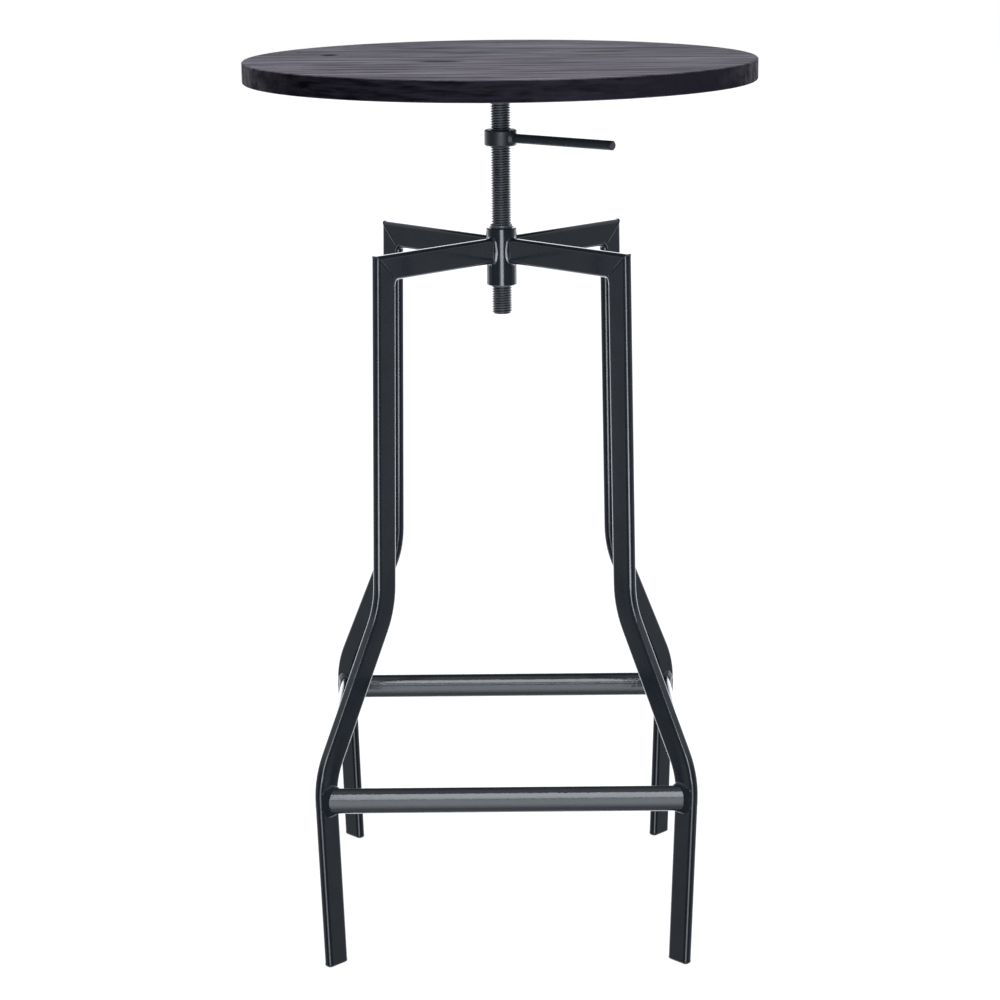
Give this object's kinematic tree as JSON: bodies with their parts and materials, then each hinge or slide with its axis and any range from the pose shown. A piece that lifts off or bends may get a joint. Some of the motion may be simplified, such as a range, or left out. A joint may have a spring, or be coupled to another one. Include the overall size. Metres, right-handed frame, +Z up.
{
  "type": "bar table",
  "caption": "Round wooden bar table on a threaded height spindle with a lock nut, over a welded steel frame with bent legs and a square footrest.",
  "frame": {"origin": "on the floor under the spindle's axis, which is also the centre of the round top", "axes": "+Z up along the spindle, +X to the right and -Y to the front, with a leg between each two horizontal axes"},
  "size_m": [0.6, 0.6, 1.046],
  "materials": {
    "stained_wood": "dark stain under thin matt lacquer, grain along X",
    "frame_coat": "semi-gloss black powder coat",
    "thread_steel": "black oxide steel, lightly oiled",
    "screw_steel": "zinc plated",
    "foot_plastic": "moulded black polyethylene"
  },
  "bodies": {
    "frame": {"hub_tube": "frame_coat", "hub_bush": "thread_steel", "arm_front_left": "frame_coat", "arm_front_right": "frame_coat", "arm_rear_right": "frame_coat", "arm_rear_left": "frame_coat", "leg_front_left": "frame_coat", "leg_front_right": "frame_coat", "leg_rear_right": "frame_coat", "leg_rear_left": "frame_coat", "foot_cap_front_left": "foot_plastic", "foot_cap_front_right": "foot_plastic", "foot_cap_rear_right": "foot_plastic", "foot_cap_rear_left": "foot_plastic", "footrest_front": "frame_coat", "footrest_right": "frame_coat", "footrest_rear": "frame_coat", "footrest_left": "frame_coat"},
    "spindle_lift": {"spindle_boss": "frame_coat"},
    "table_top": {"top_board_1": "stained_wood", "top_board_2": "stained_wood", "top_board_3": "stained_wood", "top_board_4": "stained_wood", "top_board_5": "stained_wood", "mounting_plate": "frame_coat", "plate_screws": "screw_steel", "spindle": "thread_steel"},
    "lock_lift": {"lock_nut_bush": "thread_steel"},
    "lock_grip": {"lock_nut_sleeve": "frame_coat", "lock_handle": "frame_coat"}
  },
  "joints": [
    {"name": "top_rise", "type": "slide", "parent": "frame", "child": "spindle_lift", "axis": [0, 0, 1], "range_m": [-0.0511, 0.0511]},
    {"name": "top_turn", "type": "hinge", "parent": "spindle_lift", "child": "table_top", "pos_m": [0, 0, 0.9], "axis": [0, 0, 1], "range_deg": [-6120, 6120]},
    {"name": "lock_rise", "type": "slide", "parent": "table_top", "child": "lock_lift", "axis": [0, 0, 1], "range_m": [-0.0361, 0.0301]},
    {"name": "lock_turn", "type": "hinge", "parent": "lock_lift", "child": "lock_grip", "pos_m": [0, 0, 0.9539], "axis": [0, 0, 1], "range_deg": [-4320, 3600]}
  ],
  "couplings": [
    {"joint": "top_rise", "follows": "top_turn", "m_per_rad": 0.00047746},
    {"joint": "lock_rise", "follows": "lock_turn", "m_per_rad": 0.00047746}
  ]
}
